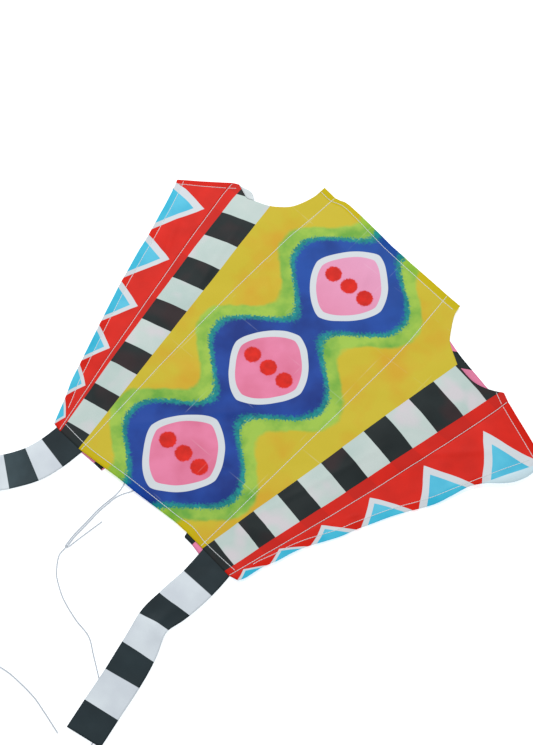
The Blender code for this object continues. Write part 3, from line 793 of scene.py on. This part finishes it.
def centre_print(finish):
    """A generic print for the canopy's centre: a chain of rounded leaf shapes in rings of colour."""
    side_way, back = finish.attribute("side_way"), finish.attribute("back")
    wave = finish.math("COSINE", finish.math("MULTIPLY", back, 2.0 * math.pi / LEAF_LENGTH))
    local = finish.math("MULTIPLY_ADD", wave, 0.5, 0.5)
    beside = finish.math("DIVIDE", finish.math("ABSOLUTE", side_way), LEAF_HALF_WIDTH)
    turn = finish.math("FRACT", finish.math("DIVIDE", back, LEAF_LENGTH))
    soft = finish.math("POWER", finish.math("ADD", finish.math("POWER", local, 1.2),
                                            finish.math("POWER", beside, 1.2)), 1.0 / 1.2)
    ring = finish.math("ADD", soft, finish.math("MULTIPLY_ADD", finish.noise(9.0, 2.0), 0.22, -0.11))
    grain = crayon(finish)
    rough = finish.math("MULTIPLY_ADD", grain, 0.110, ring)
    smear = finish.math("MULTIPLY_ADD", finish.noise(60.0, 4.0), 0.14, ring)

    ground = finish.mix(finish.span(finish.noise(12.0, 3.0), 0.50, 0.68), PRINT["yellow"], PRINT["gold"])
    halo = finish.mix(finish.span(finish.noise(26.0, 4.0), 0.42, 0.66), PRINT["lime"], PRINT["green"])
    colour = finish.mix(finish.above(smear, 1.64, 0.05), halo, ground)
    colour = finish.mix(finish.above(rough, 1.27, 0.03), blotch(finish, PRINT["teal"], 0.30, 160.0), colour)
    deep = finish.mix(finish.span(finish.noise(16.0, 3.0), 0.4, 0.62), PRINT["blue"], PRINT["deep_blue"])
    deep = finish.mix(finish.math("MULTIPLY", finish.span(back, 0.30, 0.52, 0.0, 0.8), finish.noise(13.0, 3.0)),
                      deep, PRINT["bright_blue"])
    colour = finish.mix(finish.above(rough, 1.16, 0.05), deep, colour)
    slant = finish.math("ABSOLUTE", finish.math("MULTIPLY_ADD", turn, 2.0, -1.0))
    inside = finish.math("POWER", finish.math("ADD", finish.math("POWER", slant, 1.5),
                                              finish.math("POWER", beside, 1.5)), 1.0 / 1.5)
    inside = finish.math("ADD", inside, finish.math("MULTIPLY_ADD", finish.noise(11.0, 2.0), 0.12, -0.06))
    colour = finish.mix(finish.above(inside, 0.76, 0.003), PRINT["ring_white"], colour)
    pink = finish.mix(finish.span(finish.noise(18.0, 3.0), 0.38, 0.66), PRINT["pink"], PRINT["deep_pink"])
    pink = finish.mix(finish.span(back, 0.28, 0.50), pink, PRINT["pale_pink"])
    colour = finish.mix(finish.above(inside, 0.635, 0.003), pink, colour)
    along = finish.math("MULTIPLY", finish.math("SUBTRACT", turn, 0.5), LEAF_LENGTH)
    red = blotch(finish, PRINT["red"], 0.2, 90.0)
    for dot_centre in (0.0, DOT_SPACING):
        aside = finish.math("SUBTRACT", finish.math("ABSOLUTE", side_way), dot_centre)
        apart = finish.math("SQRT", finish.math("ADD", finish.math("MULTIPLY", aside, aside),
                                                finish.math("MULTIPLY", along, along)))
        apart = finish.math("MULTIPLY_ADD", grain, 0.0022, apart)
        colour = finish.mix(finish.above(apart, DOT_RADIUS, 0.0012), red, colour)
    return colour


LEAF_LENGTH = 0.1760
LEAF_HALF_WIDTH = 0.0800
DOT_SPACING = 0.0300
DOT_RADIUS = 0.0124


def creased(finish, colour):
    """Faint pale lines where the cloth was folded for its pouch, broken up as if worn."""
    lines = 0.0
    for name, spacing, phase in (("side_way", 0.0740, 0.04), ("back", 0.0930, 0.31)):
        turn = finish.math("FRACT", finish.math("MULTIPLY_ADD", finish.attribute(name), 1.0 / spacing, phase))
        away = finish.math("MULTIPLY", finish.math("ABSOLUTE", finish.math("SUBTRACT", turn, 0.5)), spacing)
        line = finish.math("SUBTRACT", 1.0, finish.above(away, 0.0006, 0.0005))
        lines = finish.math("MAXIMUM", lines, line)
    worn = finish.span(finish.noise(17.0, 4.0), 0.52, 0.64, 0.0, 0.14)
    return finish.mix(finish.math("MULTIPLY", lines, worn), colour, PRINT["thread"])


def canopy_finish():
    """The canopy's print: the centre, and the yellow, striped and red bands of the cells."""
    finish = Finish("canopy_print", 0.55, 0.04, 0.12)
    band = finish.math("ABSOLUTE", finish.attribute("band"))
    blocks, white = block_colours(finish)
    shade = finish.span(finish.noise(30.0, 2.0), 0.35, 0.65, 0.0, 0.45)
    red = finish.mix(shade, PRINT["red"], PRINT["deep_red"])
    lined = finish.mix(finish.math("MULTIPLY", finish.math("SUBTRACT", 1.0, white), 0.55), red, PRINT["deep_red"])
    colour = finish.mix(finish.above(band, 2.0), centre_print(finish), blocks)
    colour = finish.mix(finish.above(band, 3.0), colour, lined)
    finish_cloth(finish, finish.mix(finish.above(band, 2.0), creased(finish, colour), colour))
    return finish.material


def keel_finish():
    """The keels' print: a white zigzag between a red ground and light blue points at the hem."""
    finish = Finish("keel_print", 0.55, 0.04, 0.12)
    wobble = finish.math("MULTIPLY_ADD", finish.noise(22.0, 2.0), 0.10, -0.05)
    cell = finish.math("FRACT", finish.attribute("cell"))
    away = finish.math("ABSOLUTE", finish.math("MULTIPLY_ADD", cell, 2.0, -1.0))
    from_hem = finish.math("SUBTRACT", 1.0, finish.attribute("across"))
    slope = finish.math("ADD", finish.math("MULTIPLY_ADD", away, 0.95, from_hem), wobble)
    red = blotch(finish, PRINT["red"], 0.12, 30.0)
    sky = finish.mix(finish.span(finish.noise(24.0, 3.0), 0.35, 0.7), PRINT["sky"], PRINT["pale_sky"])
    colour = finish.mix(finish.above(slope, 0.86, 0.004), PRINT["ring_white"], red)
    colour = finish.mix(finish.above(slope, 0.62, 0.004), sky, colour)
    reverse = finish.mix(finish.span(finish.noise(40.0, 2.0), 0.35, 0.65), srgb(206, 228, 236), srgb(198, 222, 232))
    colour = finish.mix(finish.above(finish.attribute("rolled"), 0.0, 0.0003), colour, reverse)
    finish_cloth(finish, colour)
    return finish.material


def tail_finish():
    finish = Finish("tail_print", 0.55, 0.04, 0.12)
    number = finish.attribute("block")
    half = finish.math("FRACT", finish.math("MULTIPLY", number, 0.5))
    white = finish.above(half, 0.5, 0.004)
    pale = finish.mix(finish.span(finish.noise(20.0, 3.0), 0.35, 0.65), PRINT["tail_white"], PRINT["tail_grey"])
    dark = finish.mix(finish.attribute("faded"), PRINT["tail_black"], PRINT["faded_black"])
    finish_cloth(finish, finish.mix(white, blotch(finish, dark, 0.25), pale))
    return finish.material


def lower_finish():
    finish = Finish("lower_sheet_print", 0.55, 0.04, 0.12)
    wobble = finish.math("MULTIPLY_ADD", finish.noise(40.0, 2.0), 0.04, -0.02)
    number = finish.math("ADD", finish.attribute("stripe"), wobble)
    black = finish.above(finish.math("FRACT", number), 0.5, 0.006)
    finish_cloth(finish, finish.mix(black, blotch(finish, PRINT["pink"], 0.12), PRINT["black"]))
    return finish.material


def reverse_finish():
    """The unprinted reverse of the cloth, which is pale with a trace of the print's tone."""
    finish = Finish("cloth_reverse", 0.6, 0.04, 0.12)
    finish.colour(blotch(finish, PRINT["reverse"], 0.10, 30.0))
    finish.weave_bump()
    return finish.material


def thread_finish(name, tone, shade, twist):
    """Twisted or braided white thread, whose turns show as bump."""
    finish = Finish(name, 0.6, 0.05, 0.15)
    wave = finish.nodes.new("ShaderNodeTexWave")
    wave.inputs["Scale"].default_value = twist
    wave.inputs["Distortion"].default_value = 2.0
    finish.put(wave.inputs["Vector"], finish.position())
    finish.colour(finish.mix(finish.span(wave.outputs["Fac"], 0.0, 1.0, 0.0, 0.5), PRINT[tone],
                             PRINT[shade]))
    bump = finish.nodes.new("ShaderNodeBump")
    bump.inputs["Strength"].default_value = 0.5
    bump.inputs["Distance"].default_value = 0.0002
    finish.put(bump.inputs["Height"], wave.outputs["Fac"])
    finish.links.new(bump.outputs[0], finish.shader.inputs["Normal"])
    return finish.material


def surface_finder(piece):
    """A call that gives the height of a piece's printed face at a place."""
    tree = BVHTree.FromObject(piece, bpy.context.evaluated_depsgraph_get())

    def height_at(x, back):
        hit = tree.ray_cast(Vector((x, TRAILING_Y + back, 0.2)), Vector((0.0, 0.0, -1.0)))[0]
        return None if hit is None else hit.z
    return height_at


def stitch_row(line, height_at, mesh_parts, length=0.0036, gap=0.0002, radius=0.00045):
    """Running stitches along a line of places, each a short spindle that dips at its ends."""
    places = even_line(np.array(line, float), length + gap)
    for start, end in zip(places[:-1], places[1:]):
        run = end - start
        run = run / np.linalg.norm(run)
        beside = np.array([-run[1], run[0], 0.0])
        rings = []
        for share, wide, sink in ((0.0, 0.8, 0.3), (0.2, 1.0, 0.1), (0.8, 1.0, 0.1), (1.0, 0.8, 0.3)):
            place = start + run * length * share
            z = height_at(place[0], place[1])
            if z is None:
                rings = []
                break
            middle = np.array([place[0], TRAILING_Y + place[1], z - radius * sink + radius * 0.25])
            for step in range(6):
                angle = step * math.pi / 3.0
                rings.append(middle + radius * wide * (beside * math.cos(angle)
                                                       + np.array([0.0, 0.0, math.sin(angle)])))
        if rings:
            mesh_parts.append(np.array(rings))


def stitching(name, mesh_parts, material):
    """One mesh of all the stitches that belong together."""
    verts = np.concatenate(mesh_parts)
    faces = []
    for index in range(len(mesh_parts)):
        base = index * 24
        for ring in range(3):
            for step in range(6):
                after = (step + 1) % 6
                faces.append([base + ring * 6 + step, base + ring * 6 + after,
                              base + ring * 6 + 6 + after, base + ring * 6 + 6 + step])
        faces.append([base + step for step in range(5, -1, -1)])
        faces.append([base + 18 + step for step in range(6)])
    mesh = bpy.data.meshes.new(name)
    mesh.from_pydata(verts.tolist(), [], faces)
    mesh.shade_smooth()
    mesh.materials.append(material)
    piece = bpy.data.objects.new(name, mesh)
    bpy.context.scene.collection.objects.link(piece)
    return piece


def add_cord(name, route, material):
    """A cord as one bevelled curve along its route."""
    curve = bpy.data.curves.new(name, "CURVE")
    curve.dimensions = "3D"
    curve.bevel_depth = CORD_DIAMETER / 2.0
    curve.bevel_resolution = 3
    curve.use_fill_caps = True
    places = smooth_line(route, CORD_SPACING)
    spline = curve.splines.new("POLY")
    spline.points.add(len(places) - 1)
    for spline_point, place in zip(spline.points, places):
        spline_point.co = (*floor_point(place, CORD_HEIGHT), 1.0)
    curve.materials.append(material)
    piece = bpy.data.objects.new(name, curve)
    bpy.context.scene.collection.objects.link(piece)
    length = float(np.sum(np.linalg.norm(np.diff(places, axis=0), axis=1)))
    path = [tuple(floor_point(place, CORD_HEIGHT)) for place in places]
    return piece, length, path


def as_mesh(piece):
    """The same piece as a mesh in place of its curve."""
    name = piece.name
    mesh = bpy.data.meshes.new_from_object(piece.evaluated_get(bpy.context.evaluated_depsgraph_get()))
    bpy.data.objects.remove(piece)
    piece = bpy.data.objects.new(name, mesh)
    bpy.context.scene.collection.objects.link(piece)
    return piece


def add_floor():
    """A plain pale floor."""
    mesh = bpy.data.meshes.new("floor")
    half = 30.0
    mesh.from_pydata([(-half, -half, 0), (half, -half, 0), (half, half, 0), (-half, half, 0)], [], [(0, 1, 2, 3)])
    finish = Finish("floor_white", 0.9, 0.0, 0.1)
    finish.colour((0.92, 0.92, 0.92, 1.0))
    finish.shader.inputs["Emission Color"].default_value = (0.93, 0.96, 1.0, 1.0)
    finish.shader.inputs["Emission Strength"].default_value = 0.46
    mesh.materials.append(finish.material)
    floor = bpy.data.objects.new("floor", mesh)
    floor.location.z = -0.0003
    bpy.context.scene.collection.objects.link(floor)


def add_light(name, place, aim, size, watts, tint=(1.0, 1.0, 1.0)):
    """A soft square lamp at a place, turned to its aim."""
    lamp = bpy.data.lights.new(name, "AREA")
    lamp.size = size
    lamp.energy = watts
    lamp.color = tint
    holder = bpy.data.objects.new(name, lamp)
    holder.location = place
    holder.rotation_euler = (Vector(aim) - Vector(place)).to_track_quat("-Z", "Y").to_euler()
    bpy.context.scene.collection.objects.link(holder)


def add_lights():
    """A bright even studio, with one large soft lamp from the far left."""
    world = bpy.data.worlds.new("studio")
    world.use_nodes = True
    world.node_tree.nodes["Background"].inputs["Color"].default_value = (0.98, 0.99, 1.0, 1.0)
    world.node_tree.nodes["Background"].inputs["Strength"].default_value = 0.52
    bpy.context.scene.world = world
    bpy.context.scene.view_settings.view_transform = "Standard"
    add_light("key", (-1.4, 1.3, 2.4), (0.0, 0.1, 0.0), 1.4, 52.0)
    add_light("fill", (1.8, -1.2, 2.2), (0.0, 0.1, 0.0), 2.4, 12.0)


def add_keel(side, reverse, thread, print_material):
    """A keel's cloth and stitching, which join the canopy at its seam."""
    points, attributes = keel_grid(side)
    cloth = make_cloth(f"{side}_keel_cloth", points, attributes, [print_material, reverse])
    height_at = surface_finder(cloth)
    corners = {name: np.array(place) for name, place in CORNERS[side].items()}
    seam = corners["seam_lead"] - corners["seam_foot"]
    outward = np.array([-1.0 if side == "left" else 1.0, 0.0])
    hem_line = np.array(KEEL_EDGES[side]) if side == "left" else np.array(KEEL_EDGES[side][:14] + ROLLED_HEM[1:])
    edge = even_line(hem_line, None, 60)
    along = np.gradient(edge, axis=0)
    along = along / np.linalg.norm(along, axis=1, keepdims=True)
    beside = np.stack([along[:, 1], -along[:, 0]], axis=1) * -outward[0]
    parts = []
    stitch_row((edge + beside * HEM_WIDTH)[4:], height_at, parts)
    lead_run = corners["keel_tip"] - corners["seam_lead"]
    lead_share = np.linspace(0.02, 0.985, 20)[:, None]
    lead = corners["seam_lead"] + lead_run * lead_share - seam / np.linalg.norm(seam) * HEM_WIDTH
    stitch_row(lead, height_at, parts)
    stitches = stitching(f"{side}_keel_stitching", parts, thread)
    for piece in (cloth, stitches):
        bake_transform(piece)
    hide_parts(f"{side}_keel")


def add_tail(side, reverse, print_material):
    """A tail's cloth, from under the trailing hem to its free end."""
    points, attributes = tail_grid(side)
    cloth = make_cloth(f"{side}_tail_cloth", points, attributes, [print_material, reverse])
    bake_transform(cloth)
    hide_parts(f"{side}_tail")


def add_canopy(reverse, thread):
    """The canopy's cloth with its seams and hems, and the lower sheets of the cells."""
    points, attributes = canopy_grid()
    cloth = make_cloth("canopy_cloth", points, attributes, [canopy_finish(), reverse])
    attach(cloth, "canopy")
    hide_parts("centre_panel")
    height_at = surface_finder(cloth)
    parts = []
    for side in ("left", "right"):
        share = np.linspace(0.002, 0.997, 60)[:, None]
        for seam, inset in (("centre", 0.0), ("seam", 0.0010)):
            foot, lead = seam_places(side, seam)
            inward = np.array([-inset, 0.0]) if side == "right" else np.array([inset, 0.0])
            stitch_row(foot + (lead - foot) * share + seam_shift(side, seam, share[:, 0]) + inward, height_at, parts)
        for node in ("red_band", "striped_band", "yellow_band"):
            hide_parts(f"{side}_cell_{node}")
    stitch_row(smooth_line(FOOT_STITCHES, 0.004), height_at, parts)
    for crossing in STRIP_CROSSINGS:
        stitch_row(crossing, height_at, parts)
    stitch_row(smooth_line(LEAD_STITCHES, 0.004), height_at, parts)
    stitches = stitching("canopy_stitching", parts, thread)
    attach(stitches, "canopy")
    lower_material = lower_finish()
    for side in ("left", "right"):
        lower_points, lower_attributes = lower_grid(side)
        lower = make_cloth(f"{side}_cell_lower_cloth", lower_points, lower_attributes, [lower_material, reverse])
        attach(lower, "canopy")
        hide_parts(f"{side}_cell_lower_sheet")
    corner = add_turned_corner(reverse)


# The leading hem's stitches, and the trailing hem's from the left keel seam to the right one.
LEAD_STITCHES = [(-0.1437, 0.5311), (-0.1330, 0.5300), (-0.1222, 0.5302), (-0.1121, 0.5340), (-0.1019, 0.5357),
                 (-0.0838, 0.5340), (-0.0654, 0.5315), (-0.0462, 0.5282), (-0.0275, 0.5252), (-0.0111, 0.5231),
                 (0.0300, 0.5190), (0.0848, 0.5142), (0.1267, 0.5118)]
FOOT_STITCHES = [(-0.1589, 0.0087), (-0.1146, 0.0060), (-0.0760, 0.0082), (-0.0378, 0.0111), (0.0060, 0.0138),
                 (0.0511, 0.0159), (0.0777, 0.0182), (0.1047, 0.0136), (0.1604, 0.0118), (0.1650, 0.0122)]
# The stitches of the keels' leading hems where they run on over the red strips.
STRIP_CROSSINGS = [
    [(-0.2425, 0.4500), (-0.2520, 0.4440)],
    [(0.2530, 0.4522), (0.2763, 0.4404)],
]


def add_turned_corner(reverse):
    """The corner of the left top sheet that is turned over at its air inlet."""
    fold = even_line(smooth_line(TURNED_FOLD, 0.0005), None, 20)
    edge = even_line(smooth_line(TURNED_EDGE, 0.0005), None, 20)
    share = np.linspace(0.0, 1.0, 7)[:, None, None]
    flat = fold + (edge - fold) * share
    rise = 0.0085 + 0.0012 * np.sin(share[..., 0] * math.pi) - 0.0030 * share[..., 0] ** 2
    taper = np.linspace(0.0, 1.0, 21)
    rise = rise - 0.0025 * taper
    points = np.stack([flat[..., 0], TRAILING_Y + flat[..., 1], np.broadcast_to(rise, flat.shape[:2])], axis=-1)
    corner = make_cloth("left_cell_turned_corner", points, {"hem": np.zeros(flat.shape[:2])}, [reverse, reverse])
    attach(corner, "canopy")
    return corner


def add_knot(material):
    """The knot, a closed overhand turn of the line, drawn tight."""
    turns = np.linspace(0.0, 2.0 * math.pi, 97)[:-1]
    curve = bpy.data.curves.new("bridle_line_knot", "CURVE")
    curve.dimensions = "3D"
    curve.bevel_depth = CORD_DIAMETER * 0.42
    curve.bevel_resolution = 3
    spline = curve.splines.new("POLY")
    spline.use_cyclic_u = True
    spline.points.add(len(turns) - 1)
    for point, turn in zip(spline.points, turns):
        point.co = (KNOT_PLACE.x + KNOT_SPREAD * (math.sin(turn) + 2.0 * math.sin(2.0 * turn)),
                    KNOT_PLACE.y + KNOT_SPREAD * (math.cos(turn) - 2.0 * math.cos(2.0 * turn)),
                    KNOT_PLACE.z - 0.0007 * math.sin(3.0 * turn), 1.0)
    curve.materials.append(material)
    knot = bpy.data.objects.new("bridle_line_knot", curve)
    bpy.context.scene.collection.objects.link(knot)
    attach(knot, "canopy")
    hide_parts("bridle_knot")


KNOT_SPREAD = 0.00072


def add_cords():
    """The bridle lines, the loop end and the flying line, with the knot and the ties."""
    braid = thread_finish("braided_line", "cord", "cord_shade", 900.0)
    for node, route in CORD_ROUTES.items():
        name = node.replace("_line", "_cord").replace("line_", "cord_")
        piece, length, path = add_cord(name, route, braid)
        side = node.split("_")[0]
        if side in CORNERS:
            piece = as_mesh(piece)
            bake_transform(piece)
        else:
            path = None
            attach(piece, "canopy")
        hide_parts(node)
        print(f"{name} is {length:.4f} m long")
    add_knot(braid)
    for node in ("left_bridle_tie", "right_bridle_tie"):
        for material_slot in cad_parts[node].material_slots:
            material_slot.material = braid


add_camera()
add_cords()
add_floor()
add_lights()
reverse_material = reverse_finish()
thread_material = thread_finish("sewing_thread", "thread", "reverse", 1400.0)
add_canopy(reverse_material, thread_material)
keel_material = keel_finish()
tail_material = tail_finish()
for cloth_side in ("left", "right"):
    add_keel(cloth_side, reverse_material, thread_material, keel_material)
    add_tail(cloth_side, reverse_material, tail_material)
